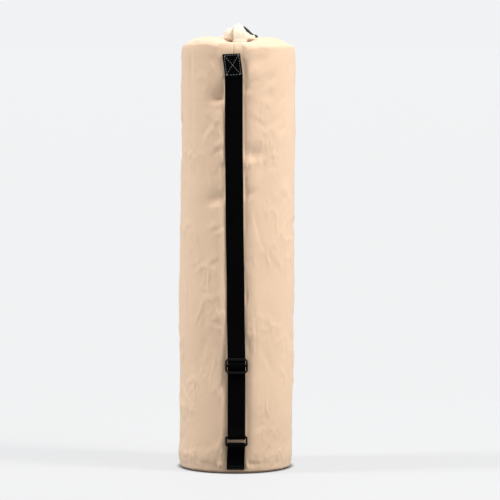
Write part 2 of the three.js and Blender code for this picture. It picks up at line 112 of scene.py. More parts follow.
def gridSheet(columns, rows, place, scale, closed=False):  # place makes millimetres of shares across and up
    bm = bmesh.new()
    layer = bm.loops.layers.uv.new("cloth")
    bmesh.ops.create_grid(bm, x_segments=columns, y_segments=rows, size=0.5, calc_uvs=True)
    vertices = list(bm.verts)
    u = np.array([v.co.x + 0.5 for v in vertices])
    v = np.array([v.co.y + 0.5 for v in vertices])
    x, y, z = place(u, v)
    for vertex, px, py, pz in zip(vertices, x, y, z):
        vertex.co = (px * mm, py * mm, pz * mm)
    for face in bm.faces:
        for loop in face.loops:
            loop[layer].uv = (loop[layer].uv.x * scale[0] * mm, loop[layer].uv.y * scale[1] * mm)
    if closed:
        bmesh.ops.remove_doubles(bm, verts=bm.verts, dist=1e-6)
    return bm


# materials, with the effects that several of them use as shader groups
def nodeMaterial(name):
    material = bpy.data.materials.new(name)
    material.use_nodes = True
    nodes = material.node_tree.nodes
    return material, nodes, material.node_tree.links, nodes["Principled BSDF"]


def feed(links, socket, value):  # a number, a colour or another node's output
    if isinstance(value, (int, float)):
        socket.default_value = value
    elif isinstance(value, tuple):
        socket.default_value = (*value, 1)
    else:
        links.new(value, socket)


def mathTool(nodes, links):
    def calc(operation, *values):
        node = nodes.new("ShaderNodeMath")
        node.operation = operation
        for socket, value in zip(node.inputs, values):
            feed(links, socket, value)
        return node.outputs[0]

    return calc


def ridges(calc, value, turn=math.pi):  # one round ridge for each whole number
    return calc("ABSOLUTE", calc("SINE", calc("MULTIPLY", value, turn)))


def newGroup(name, numbers, outputs):  # takes a vector and numbers, gives numbers
    group = bpy.data.node_groups.new(name, "ShaderNodeTree")
    group.interface.new_socket(name="Vector", in_out="INPUT", socket_type="NodeSocketVector")
    for label, value in numbers.items():
        socket = group.interface.new_socket(name=label, in_out="INPUT", socket_type="NodeSocketFloat")
        socket.default_value = value
    for label in outputs:
        group.interface.new_socket(name=label, in_out="OUTPUT", socket_type="NodeSocketFloat")
    nodes = group.nodes
    return group, nodes, group.links, nodes.new("NodeGroupInput"), nodes.new("NodeGroupOutput")


def makePlainWeave():  # threads that pass over and under each other; height 0 to 1
    group, nodes, links, given, result = newGroup("plainWeave", {"Pitch": 0.0008}, ("Height", "Thread"))
    calc = mathTool(nodes, links)
    split = nodes.new("ShaderNodeSeparateXYZ")
    links.new(given.outputs["Vector"], split.inputs[0])
    pitch = given.outputs["Pitch"]
    across = calc("DIVIDE", split.outputs[0], pitch)
    along = calc("DIVIDE", split.outputs[1], pitch)

    def family(own, other):
        index = calc("FLOOR", own)
        turn = calc("MULTIPLY", calc("ADD", index, other), math.pi)
        over = calc("MULTIPLY_ADD", calc("COSINE", turn), 0.5, 0.5)
        return calc("MULTIPLY", ridges(calc, own), over), index

    warp, warpIndex = family(across, along)
    weft, weftIndex = family(along, calc("ADD", across, 1.0))
    links.new(calc("MAXIMUM", warp, weft), result.inputs["Height"])
    shades = []
    for index, run, length, own in ((warpIndex, along, 23.0, 0), (weftIndex, across, 31.0, 1)):
        shade = nodes.new("ShaderNodeTexWhiteNoise")  # each stretch of a thread has its own
        shade.noise_dimensions = "2D"
        joined = nodes.new("ShaderNodeCombineXYZ")
        links.new(index, joined.inputs[own])
        links.new(calc("FLOOR", calc("DIVIDE", run, length)), joined.inputs[1 - own])
        links.new(joined.outputs[0], shade.inputs["Vector"])
        shades.append(shade.outputs["Value"])
    mixed = calc("MULTIPLY_ADD", shades[0], 0.5, calc("MULTIPLY", shades[1], 0.5))
    links.new(mixed, result.inputs["Thread"])
    return group


def makeMottle():  # slow drifts and small specks, each about 0 to 1
    group, nodes, links, given, result = newGroup("mottle", {"Size": 20.0}, ("Drift", "Speck"))
    calc = mathTool(nodes, links)
    size = given.outputs["Size"]
    for label, scale, detail in (("Drift", size, 3), ("Speck", calc("MULTIPLY", size, 14.0), 4)):
        cloud = nodes.new("ShaderNodeTexNoise")
        links.new(given.outputs["Vector"], cloud.inputs["Vector"])
        links.new(scale, cloud.inputs["Scale"])
        cloud.inputs["Detail"].default_value = detail
        links.new(cloud.outputs["Fac"], result.inputs[label])
    return group


def makeRibs():  # chevron ribs of a woven tape, across X and along Y
    sizes = {"Pitch": 0.0016, "Column": 0.0031}
    group, nodes, links, given, result = newGroup("tapeRibs", sizes, ("Height",))
    calc = mathTool(nodes, links)
    split = nodes.new("ShaderNodeSeparateXYZ")
    links.new(given.outputs["Vector"], split.inputs[0])
    across = calc("DIVIDE", split.outputs[0], given.outputs["Column"])
    lean = calc("MULTIPLY", calc("PINGPONG", across, 0.5), 1.6)
    along = calc("DIVIDE", split.outputs[1], given.outputs["Pitch"])
    ridge = ridges(calc, calc("ADD", along, lean))
    column = calc("POWER", ridges(calc, across, 2 * math.pi), 0.35)
    links.new(calc("MULTIPLY", ridge, column), result.inputs["Height"])
    return group


plainWeave = makePlainWeave()
mottle = makeMottle()
tapeRibs = makeRibs()


def placeGroup(nodes, group, **values):
    node = nodes.new("ShaderNodeGroup")
    node.node_tree = group
    for label, value in values.items():
        node.inputs[label].default_value = value
    return node


def placeMottle(nodes, links, size):
    patches = placeGroup(nodes, mottle, Size=size)
    links.new(nodes.new("ShaderNodeTexCoord").outputs["Object"], patches.inputs["Vector"])
    return patches


def clothMap(nodes):  # the piece's own cloth coordinates, in metres
    cloth = nodes.new("ShaderNodeUVMap")
    cloth.uv_map = "cloth"
    return cloth.outputs["UV"]


def mapRange(nodes, links, value, low, high, first, last):
    node = nodes.new("ShaderNodeMapRange")
    for label, given in (
        ("Value", value), ("From Min", low), ("From Max", high), ("To Min", first), ("To Max", last),
    ):
        feed(links, node.inputs[label], given)
    return node.outputs[0]


def mixColours(nodes, links, share, first, second):
    mix = nodes.new("ShaderNodeMix")
    mix.data_type = "RGBA"
    for k, value in ((0, share), (6, first), (7, second)):
        feed(links, mix.inputs[k], value)
    return mix.outputs[2]


def colourShader(nodes, links, shader, share, first, second):
    links.new(mixColours(nodes, links, share, first, second), shader.inputs["Base Color"])


def bumpNode(nodes, links, height, distance, strength, before=None):
    bump = nodes.new("ShaderNodeBump")
    bump.inputs["Strength"].default_value = strength
    bump.inputs["Distance"].default_value = distance
    links.new(height, bump.inputs["Height"])
    if before is not None:
        links.new(before, bump.inputs["Normal"])
    return bump.outputs["Normal"]


canvasLook = {
    "colour": (0.76, 0.55, 0.385),
    "shade": (0.69, 0.485, 0.33),  # painted shade in the threads' gaps, and darker tone in the drifts
    "paintedHemLight": (0.93, 0.84, 0.68),  # painted highlight: the hem's top made lighter where strong light falls on it
    "thread": 0.00075,  # metres from thread to thread
}


def makeCanvas(name, mapped):  # without a map the weave follows the object's own coordinates
    material, nodes, links, shader = nodeMaterial(name)
    calc = mathTool(nodes, links)
    cloth = clothMap(nodes) if mapped else nodes.new("ShaderNodeTexCoord").outputs["Object"]
    weave = placeGroup(nodes, plainWeave, Pitch=canvasLook["thread"])
    links.new(cloth, weave.inputs["Vector"])
    patches = placeMottle(nodes, links, 9.0)
    # the gaps between the threads get the darker colour: painted shade; the thread and drift noise is the
    # cloth's own tone
    gaps = calc("SUBTRACT", 1.0, weave.outputs["Height"])
    threads = calc("MULTIPLY_ADD", weave.outputs["Thread"], 0.3, -0.15)
    drifts = calc("MULTIPLY_ADD", patches.outputs["Drift"], 0.8, -0.4)
    gapShadeAndDrift = calc("MAXIMUM", calc("ADD", calc("MULTIPLY_ADD", gaps, 0.45, threads), drifts), 0.0)
    colour = mixColours(nodes, links, gapShadeAndDrift, canvasLook["colour"], canvasLook["shade"])
    if mapped:
        # the neck's top is mixed towards a lighter colour: a painted highlight standing in for the strong
        # light there
        paintedHemLight = nodes.new("ShaderNodeAttribute")
        paintedHemLight.attribute_name = "paintedHemLight"
        colour = mixColours(nodes, links, paintedHemLight.outputs["Fac"], colour, canvasLook["paintedHemLight"])
    links.new(colour, shader.inputs["Base Color"])
    links.new(calc("MULTIPLY_ADD", patches.outputs["Speck"], 0.14, 0.78), shader.inputs["Roughness"])
    shader.inputs["Specular IOR Level"].default_value = 0.25
    shader.inputs["Sheen Weight"].default_value = 0.35
    shader.inputs["Sheen Roughness"].default_value = 0.45
    shader.inputs["Sheen Tint"].default_value = (1.0, 0.97, 0.93, 1)
    crumple = bumpNode(nodes, links, patches.outputs["Speck"], 0.0012, 0.25)
    woven = bumpNode(nodes, links, weave.outputs["Height"], 0.00022, 0.55, crumple)
    links.new(woven, shader.inputs["Normal"])
    return material


webLook = {"colour": (0.0006, 0.0006, 0.0007), "worn": (0.0024, 0.0024, 0.0026)}


def makeWebbing(name):
    material, nodes, links, shader = nodeMaterial(name)
    calc = mathTool(nodes, links)
    ribs = placeGroup(nodes, tapeRibs)
    links.new(clothMap(nodes), ribs.inputs["Vector"])
    patches = placeMottle(nodes, links, 30.0)
    worn = calc("MULTIPLY", ribs.outputs["Height"], patches.outputs["Speck"])
    colourShader(nodes, links, shader, worn, webLook["colour"], webLook["worn"])
    links.new(calc("MULTIPLY_ADD", patches.outputs["Drift"], 0.2, 0.62), shader.inputs["Roughness"])
    shader.inputs["Specular IOR Level"].default_value = 0.02
    links.new(bumpNode(nodes, links, ribs.outputs["Height"], 0.0004, 0.8), shader.inputs["Normal"])
    return material


plasticLook = {"colour": (0.0012, 0.0012, 0.0013), "dusty": (0.003, 0.003, 0.0033)}


def makePlastic(name):
    material, nodes, links, shader = nodeMaterial(name)
    calc = mathTool(nodes, links)
    patches = placeMottle(nodes, links, 120.0)
    colourShader(nodes, links, shader, patches.outputs["Drift"], plasticLook["colour"], plasticLook["dusty"])
    links.new(calc("MULTIPLY_ADD", patches.outputs["Speck"], 0.2, 0.3), shader.inputs["Roughness"])
    shader.inputs["Specular IOR Level"].default_value = 0.16
    links.new(bumpNode(nodes, links, patches.outputs["Speck"], 0.0002, 0.3), shader.inputs["Normal"])
    return material


def makeThread(name, colour):
    material, nodes, links, shader = nodeMaterial(name)
    patches = placeMottle(nodes, links, 300.0)
    deep = tuple(0.7 * value for value in colour)
    colourShader(nodes, links, shader, patches.outputs["Speck"], deep, colour)
    shader.inputs["Roughness"].default_value = 0.7
    return material


canvasCloth = makeCanvas("canvasCloth", True)
canvasBase = makeCanvas("canvasBase", False)
blackWebbing = makeWebbing("blackWebbing")
blackPlastic = makePlastic("blackPlastic")
greyThread = makeThread("greyThread", (0.33, 0.36, 0.36))
canvasThread = makeThread("canvasThread", (0.8, 0.68, 0.52))
blackThread = makeThread("blackThread", (0.03, 0.03, 0.032))
print("materials made")

# drawstring: one closed run from the neck over the top to the cord stop at the back
cordSet = {  # millimetres
    "diameter": 4.0, "step": 1.6, "sides": 14, "strands": 4.0, "braid": 4.2,
    # deep is the colour of the braid's grooves: painted shade
    "colour": (0.022, 0.022, 0.024), "deep": (0.004, 0.004, 0.005),
}
cordRoute = [  # metres, from where it leaves the neck to where it goes back in
    (0.0052, -0.0663, 0.6268), (0.0075, -0.057, 0.6298), (0.012, -0.0485, 0.63),
    (0.017, -0.0385, 0.6263), (0.0215, -0.028, 0.622), (0.0256, -0.015, 0.6188),
    (0.0288, -0.001, 0.6184), (0.0303, 0.01, 0.6176), (0.031, 0.022, 0.6154),
    (0.031, 0.042, 0.6114), (0.0305, 0.06, 0.6089), (0.0303, 0.07, 0.6068),
    (0.0303, 0.077, 0.6034), (0.0303, 0.0798, 0.5965), (0.0305, 0.081, 0.588),
    (0.0311, 0.082, 0.577), (0.0311, 0.082, 0.566), (0.0311, 0.082, 0.555),
    (0.0315, 0.08, 0.543), (0.0338, 0.0788, 0.525), (0.0358, 0.0778, 0.505),
    (0.0362, 0.0774, 0.493), (0.0362, 0.0775, 0.484), (0.0342, 0.0786, 0.4774),
    (0.0285, 0.0804, 0.4732), (0.0215, 0.0822, 0.4732), (0.0158, 0.0835, 0.4774),
    (0.0138, 0.0834, 0.484), (0.0138, 0.0833, 0.493), (0.015, 0.0832, 0.505),
    (0.0185, 0.083, 0.525), (0.0224, 0.0826, 0.543), (0.0247, 0.0838, 0.555),
    (0.0247, 0.0838, 0.566), (0.0247, 0.0838, 0.577), (0.0241, 0.0825, 0.588),
    (0.024, 0.0815, 0.5965), (0.0242, 0.0788, 0.6036), (0.0243, 0.0712, 0.6073),
    (0.0243, 0.06, 0.6096), (0.0245, 0.042, 0.6124), (0.024, 0.02, 0.6153),
    (0.0225, 0.0, 0.6174), (0.018, -0.016, 0.619), (0.012, -0.032, 0.622),
    (0.008, -0.046, 0.6242), (0.0056, -0.056, 0.6238), (0.0053, -0.0682, 0.62),
]


def runAlong(line):  # the length from the start to each point
    return np.concatenate([[0], np.cumsum(np.linalg.norm(np.diff(line, axis=0), axis=1))])


def pointsAt(at, run, line):
    return np.stack([np.interp(at, run, column) for column in line.T], axis=1)


def between(p, q, start, end, t):
    return p * ((end - t) / (end - start)) + q * ((t - start) / (end - start))


def smoothRoute(route, step):  # even steps on a centripetal curve through the points
    points = [Vector(p) for p in route]
    points = [2 * points[0] - points[1], *points, 2 * points[-1] - points[-2]]
    dense = []
    for p0, p1, p2, p3 in zip(points, points[1:], points[2:], points[3:]):
        t1 = (p1 - p0).length ** 0.5
        t2 = t1 + (p2 - p1).length ** 0.5
        t3 = t2 + (p3 - p2).length ** 0.5
        for k in range(24):
            t = t1 + (t2 - t1) * k / 24
            first, middle = between(p0, p1, 0, t1, t), between(p1, p2, t1, t2, t)
            last = between(p2, p3, t2, t3, t)
            early, late = between(first, middle, 0, t2, t), between(middle, last, t1, t3, t)
            dense.append(between(early, late, t1, t2, t))
    dense.append(points[-2])
    line = np.array(dense)
    run = runAlong(line)
    count = max(int(run[-1] / step), 8)
    return pointsAt(np.linspace(0, run[-1], count + 1), run, line), run[-1]


def tubeFrames(line):  # directions across a line that don't twist along it
    along = np.gradient(line, axis=0)
    along /= np.linalg.norm(along, axis=1, keepdims=True)
    side = np.cross(along[0], (0.0, 0.0, 1.0))
    side /= np.linalg.norm(side)
    sides = [side]
    for direction in along[1:]:
        side = side - direction * np.dot(side, direction)
        side /= np.linalg.norm(side)
        sides.append(side)
    sides = np.array(sides)
    return along, sides, np.cross(along, sides)


def makeCord():
    line, length = smoothRoute(cordRoute, cordSet["step"] * mm)
    along, side, up = tubeFrames(line)
    rows = len(line) - 1
    radius = cordSet["diameter"] / 2  # millimetres

    def place(u, v):
        row = np.rint(v * rows).astype(int)
        turn = -2 * np.pi * u
        outward = np.cos(turn)[:, None] * side[row] + np.sin(turn)[:, None] * up[row]
        spot = line[row] / mm + radius * outward
        return spot.T

    bm = gridSheet(cordSet["sides"], rows, place, (1 / mm, length / mm), closed=True)
    ends = [edge for edge in bm.edges if edge.is_boundary]
    bmesh.ops.holes_fill(bm, edges=ends, sides=0)
    bmesh.ops.recalc_face_normals(bm, faces=bm.faces)
    return bm, line, length


def makeCordLook(name):
    material, nodes, links, shader = nodeMaterial(name)
    calc = mathTool(nodes, links)
    split = nodes.new("ShaderNodeSeparateXYZ")
    links.new(clothMap(nodes), split.inputs[0])
    around = calc("MULTIPLY", split.outputs[0], cordSet["strands"])
    run = calc("DIVIDE", split.outputs[1], cordSet["braid"] * mm)
    heights = [ridges(calc, calc("MULTIPLY_ADD", run, sign, around)) for sign in (1.0, -1.0)]
    braid = calc("MULTIPLY", *heights)
    # the grooves between the strands get the darker colour: painted shade
    colourShader(nodes, links, shader, braid, cordSet["deep"], cordSet["colour"])
    shader.inputs["Roughness"].default_value = 0.6
    links.new(bumpNode(nodes, links, braid, 0.0005, 0.8), shader.inputs["Normal"])
    return material


cordMesh, cordLine, cordLength = makeCord()
drawstring = newPiece("drawstringCord", cordMesh, makeCordLook("braidedCord"), ["drawstring"])
[list(map(float, point)) for point in cordLine]
print("drawstring made, length", round(cordLength, 3))

# canvas shell: one sheet from the foot up the wall, over the top and round the neck
bagSet = {  # millimetres
    "diameter": 163.0, "wallFoot": 5.3, "rimHeight": 594.0, "domeHeight": 22.0,
    "press": 3.2,  # how deep the strap presses into the front
    "pressHalfWidth": 19.5, "pressFoot": 45.0,
    "shoulderBulge": 1.6, "shoulderPlace": 26.0, "shoulderSpread": 12.0,
    "bedSag": 1.4, "footTurn": 5.0,
    "leftRise": 4.6,  # the front edge of the top on the left of the strap
    "lip": 1.2, "columns": 330, "frontDensity": 0.5,
    "footRows": 6, "wallRows": 172, "topRows": 44, "neckRows": 34, "lipRows": 5, "insideRows": 6,
    "innerRows": 22,
    "edgeRows": 11,  # so many rows of the top still run up the wall's weave
}
seamSet = {"foot": -2.6, "top": -1.6, "width": 1.1, "depth": 1.3, "lap": 0.5}
neckSet = {  # millimetres
    "right": 5.6, "front": -49.0, "foot": 609.5, "radius": 22.0, "height": 25.0, "hem": 0.9, "foldLift": 4.0,
}
topSet = {  # millimetres
    "pleat": 2.6, "pleats": 17, "ripple": 0.4, "crumple": 1.1, "pit": 4.0, "clear": (12.8, 15.5),
}
radius = bagSet["diameter"] / 2
rim = bagSet["rimHeight"]

# height as a share of the rim's, girth and sway to the right as shares of the radius
wallSections = [
    (0.009, 0.985, 0.0), (0.033, 1.0, 0.0), (0.066, 0.991, 0.012), (0.135, 0.996, 0.022),
    (0.215, 0.998, 0.026), (0.3, 1.004, 0.027), (0.39, 1.016, 0.023), (0.475, 1.012, 0.025),
    (0.56, 1.006, 0.031), (0.645, 1.002, 0.038), (0.73, 0.996, 0.045), (0.81, 0.995, 0.05),
    (0.88, 1.001, 0.056), (0.94, 1.004, 0.05),
]
# angle from the front and its spread in degrees, height and its spread as shares of the rim's, depth as a
# share of the radius
wallDents = [
    (24, 13, 0.745, 0.035, 0.022), (34, 14, 0.87, 0.05, 0.014), (50, 20, 0.8, 0.05, -0.01),
    (-21, 11, 0.885, 0.04, 0.02), (-24, 13, 0.65, 0.04, 0.014), (-56, 12, 0.93, 0.06, 0.012),
    (66, 15, 0.07, 0.03, 0.014), (-125, 22, 0.78, 0.06, 0.02), (170, 24, 0.6, 0.08, 0.018),
    (118, 20, 0.42, 0.07, 0.014),
]
# height as a share of the rim's, how far right the strap's middle lies as a share of the radius
strapCourse = [
    (0.013, 0.007), (0.081, 0.022), (0.259, 0.025), (0.404, 0.01), (0.64, -0.01), (0.808, -0.021),
    (0.943, -0.02), (1.003, -0.064),
]
# way in to the neck, then the rise at the front, left, right and back, and how far the folds have formed
topSections = [
    (0.0, 0.0, 0.0, 0.0, 0.0, 0.0), (0.01, 0.16, 0.27, 0.26, 0.25, 0.0),
    (0.04, 0.24, 0.48, 0.41, 0.41, 0.02), (0.085, 0.29, 0.6, 0.51, 0.5, 0.06),
    (0.15, 0.35, 0.73, 0.59, 0.57, 0.12), (0.25, 0.41, 0.85, 0.68, 0.65, 0.22),
    (0.4, 0.49, 0.95, 0.83, 0.78, 0.4), (0.6, 0.57, 0.97, 0.92, 0.94, 0.7),
    (0.8, 0.64, 0.84, 0.84, 1.02, 0.7), (0.93, 0.69, 0.72, 0.72, 0.88, 0.35),
    (1.0, 0.705, 0.705, 0.705, 0.705, 0.0),
]
# share of the neck's height and how much of the hem's thickness it has
neckSections = [(0.0, 0.0), (0.1, 0.0), (0.2, 1.0), (0.8, 1.0), (1.0, 0.5)]
# folds and valleys of the neck: angle from the front in degrees, reach from its middle at its foot, at the
# hem and at the top in millimetres, and height as a share
gathers = [
    (-20, 25.4, 24.4, 16.5, 0.93), (0, 26.2, 24.4, 17.0, 1.01), (17, 26.4, 24.6, 16.5, 0.9),
    (26, 24.0, 24.6, 17.5, 0.72), (36, 18.0, 24.8, 18.8, 0.54), (48, 17.0, 25.0, 19.8, 0.38),
    (62, 18.0, 24.8, 20.5, 0.28), (76, 18.0, 22.0, 18.0, 0.26), (86, 12.0, 12.5, 12.0, 0.24),
    (97, 20.5, 22.0, 18.0, 0.38), (112, 19.0, 21.0, 17.5, 0.36), (120, 12.0, 12.0, 12.0, 0.32),
    (136, 20.5, 21.0, 17.0, 0.35), (150, 17.5, 18.0, 15.0, 0.34), (157, 11.5, 11.8, 12.0, 0.32),
    (176, 19.5, 20.0, 17.0, 0.38), (190, 16.5, 18.0, 15.0, 0.36), (197, 12.0, 11.8, 12.0, 0.34),
    (214, 20.5, 21.5, 18.0, 0.42), (230, 17.0, 18.5, 16.0, 0.4), (238, 11.5, 12.0, 12.0, 0.36),
    (256, 18.5, 21.0, 19.0, 0.48), (268, 14.0, 18.0, 17.0, 0.46), (275, 10.5, 12.5, 12.5, 0.44),
    (284, 13.0, 19.5, 18.5, 0.52), (298, 13.0, 23.5, 22.0, 0.62), (314, 13.5, 23.0, 20.0, 0.74),
    (328, 14.0, 20.5, 16.0, 0.8), (333, 14.5, 16.5, 14.5, 0.82), (340, 25.4, 24.4, 16.5, 0.93),
]
# wrinkles: angle, height, length, width, lean in degrees from level, depth (inwards)
wrinkles = [
    (-20, 529, 22, 10, 6, 4.6), (-21, 515, 23, 4.9, 5, 1.4), (-15, 541, 18, 12, 48, 3.4),
    (-26, 582, 20, 7, -50, 1.7), (-14, 563, 8, 5.6, 0, -1.2), (21, 581, 42, 9.9, 28, 2.2),
    (35, 556, 25, 8.5, 40, 1.8), (26, 566, 31, 5.6, 30, -1), (10, 543, 14, 7, 0, 1.5),
    (15, 553, 17, 5.6, 35, 1.2), (33, 533, 23, 8.5, 20, 1.4), (19, 504, 23, 5.6, -30, -0.8),
    (23, 494, 20, 4.9, -35, 1.1), (38, 496, 28, 7.6, 25, 1.0), (52, 487, 14, 5.6, 50, 1.5),
    (16, 451, 22, 13, 12, 3.6), (23, 443, 25, 5.6, 70, -1), (27, 432, 20, 5.6, 60, 1),
    (55, 399, 20, 12.7, 0, -1.8), (13, 395, 20, 8.5, 30, 1.8), (-22, 387, 25, 12, 16, 3.0),
    (-19, 464, 23, 4.9, 35, -1.2), (-21, 455, 20, 4.9, 40, 1.1), (-17, 443, 14, 4.9, 30, -0.9),
    (-16, 435, 14, 5.6, -50, 1.2), (-23, 350, 14, 4.2, 25, -1), (-23, 343, 14, 4.2, 25, 1),
    (-23, 304, 14, 4.2, 30, -1), (-23, 297, 14, 4.2, 30, 0.9), (11, 356, 42, 7, 85, 1.2),
    (20, 351, 48, 5.6, -75, 0.9), (11, 249, 17, 8.5, 80, 2), (-20, 213, 23, 8.5, -10, 1.6),
    (13, 175, 25, 7, -80, 1.0), (-16, 105, 39, 8.5, -60, -0.7), (29, 72, 39, 10, 40, 1.2),
    (20, 90, 23, 7, 40, -0.5), (18, 12, 23, 5.6, 5, 1.6), (39, 24, 17, 5.6, 20, -0.9),
    (49, 11, 14, 5.6, 45, 1), (-40, 14, 28, 5.6, -15, 1), (-55, 24, 20, 5.6, 80, 0.9),
    (-55, 575, 37, 5.6, 88, 1.3), (-53, 513, 56, 5.6, 91, 0.9), (-63, 427, 70, 5.6, 90, 0.7),
    (-55, 241, 70, 5.6, 92, 0.7), (61, 341, 56, 5.6, 88, 0.9), (75, 64, 17, 7, 80, 1.4),
    (19, 202, 62, 4.9, 92, 0.6), (-12, 601, 20, 4.9, -52, 1.2), (-9, 598, 14, 4.2, -60, -0.8),
    (-34, 485, 37, 7, 60, 0.9), (-40, 329, 48, 8.5, -70, 0.8), (-36, 172, 42, 8.5, 70, 0.8),
    (41, 286, 48, 8.5, 65, 0.9), (33, 158, 42, 8.5, -60, 0.8), (49, 527, 25, 7, 55, 1),
    (-15, 11, 10, 4, 80, -2.4), (12, 10, 10, 4, 100, -2.2), (-10, 600, 9, 3.4, -62, 1.8),
    (24, 590, 22, 7, 38, 1.3),
]
scatter = random.Random(11)
for k in range(90):  # the unseen side
    wrinkles.append((
        scatter.uniform(65, 295), scatter.uniform(25, 590), scatter.uniform(14, 44), scatter.uniform(5, 10),
        scatter.uniform(-70, 70), scatter.choice((-1.2, -0.9, 1.0, 1.4, 2.2)),
    ))


def bedReach(height):
    foot = radius * wallSections[0][1] - bagSet["bedSag"]
    return foot + (radius - bagSet["press"] - foot) * stepped(height, 8.0, bagSet["pressFoot"])


def strapX(height):
    return radius * easedColumn(strapCourse, np.asarray(height, float) / rim, 1)


def reliefAt(angle, height):  # how far the cloth stands out, in millimetres
    out = np.zeros_like(height)
    for where, level, length, width, lean, depth in wrinkles:
        round_ = turnFrom(angle, where) * math.pi / 180 * radius
        rise = height - level
        near = (np.abs(round_) < 2.5 * length) & (np.abs(rise) < 2.5 * length)
        c, s = math.cos(math.radians(lean)), math.sin(math.radians(lean))
        run = round_[near] * c + rise[near] * s
        off = -round_[near] * s + rise[near] * c
        spread = width * np.where(off > 0, 0.85, 0.4)  # a crease falls slowly and comes out sharply below
        strength = (0.7 + 0.16 * abs(depth)) * depth
        out[near] -= strength * np.exp(-((run / (0.55 * length)) ** 2) - (off / spread) ** 2)
    return out


crumpleSet = {  # millimetres
    "slow": 1.3, "slowSize": 60, "bend": 12, "crease": 1.1, "creaseSize": 30, "small": 0.75, "smallSize": 13,
    "patchSize": 46,
}


def crumpleAt(x, y, z):  # slow swelling, and sharp creases where a noise passes through zero
    out = []
    for spot in zip(x, y, z):
        spot = Vector(spot)
        slow = Vector([noise.noise(spot / crumpleSet["slowSize"] + Vector((k, 0, 0))) for k in (31, 67, 103)])
        bent = spot + crumpleSet["bend"] * slow
        crease = 1 - min(abs(noise.noise(bent / crumpleSet["creaseSize"])) / 0.22, 1)
        small = 1 - min(abs(noise.noise(bent / crumpleSet["smallSize"] + Vector((5, 0, 0)))) / 0.25, 1)
        patch = noise.noise(spot / crumpleSet["patchSize"] + Vector((0, 7, 0))) * 2.2 + 0.45
        folds = crumpleSet["crease"] * crease**2 + crumpleSet["small"] * small**2
        out.append(crumpleSet["slow"] * slow.x + min(max(patch, 0.12), 1) * folds - 0.3)
    return np.array(out)


def clearOfStrap(x, y, height):  # 0 under the strap and at its edges, 1 away from it
    return np.where(y < 0, stepped(np.abs(x - strapX(height)), *topSet["clear"]), 1.0)


def wallPoint(height, angle):
    share = height / rim
    girth = radius * easedColumn(wallSections, share, 1)
    sway = radius * easedColumn(wallSections, share, 2)
    dent = np.zeros_like(height)
    for where, spread, level, rise, depth in wallDents:
        turn = turnFrom(angle, where) / spread
        dent += depth * radius * np.exp(-turn * turn - ((share - level) / rise) ** 2)
    reach = girth - dent
    x = sway + reach * np.sin(angle)
    y = -reach * np.cos(angle)
    off = np.abs(x - strapX(height))
    front = y < 0
    amount = stepped(height, 8.0, bagSet["pressFoot"])
    shoulder = (off - bagSet["shoulderPlace"]) / bagSet["shoulderSpread"]
    swell = amount * bagSet["shoulderBulge"] * np.exp(-(shoulder**2))
    y = np.where(front, y - swell, y)
    hold = np.exp(-((off / bagSet["pressHalfWidth"]) ** 6)) * front
    y = y + (-bedReach(height) - y) * hold
    return x, y


def gatherAt(angle):  # the reaches and the height share at an angle, eased between the rows
    turn = (np.degrees(angle) + 20) % 360 - 20
    return [easedColumn(gathers, turn, k) for k in range(1, 5)]


def neckPoint(height, angle):
    foot, hem, top, share = gatherAt(angle)
    low = stepped(height, 0.02, 0.24)
    high = height**3.4
    reach = foot + (hem - foot) * low
    reach = reach + (top - reach) * high
    x = neckSet["right"] + reach * np.sin(angle)
    y = neckSet["front"] - reach * np.cos(angle)
    z = neckSet["foot"] + neckSet["height"] * height * (1 - (1 - share) * height)
    return x, y, z


rowNames = ("footRows", "wallRows", "topRows", "neckRows", "lipRows", "insideRows", "innerRows")
counts = [bagSet[name] for name in rowNames]
ends = np.cumsum(counts)
rows = int(ends[-1])


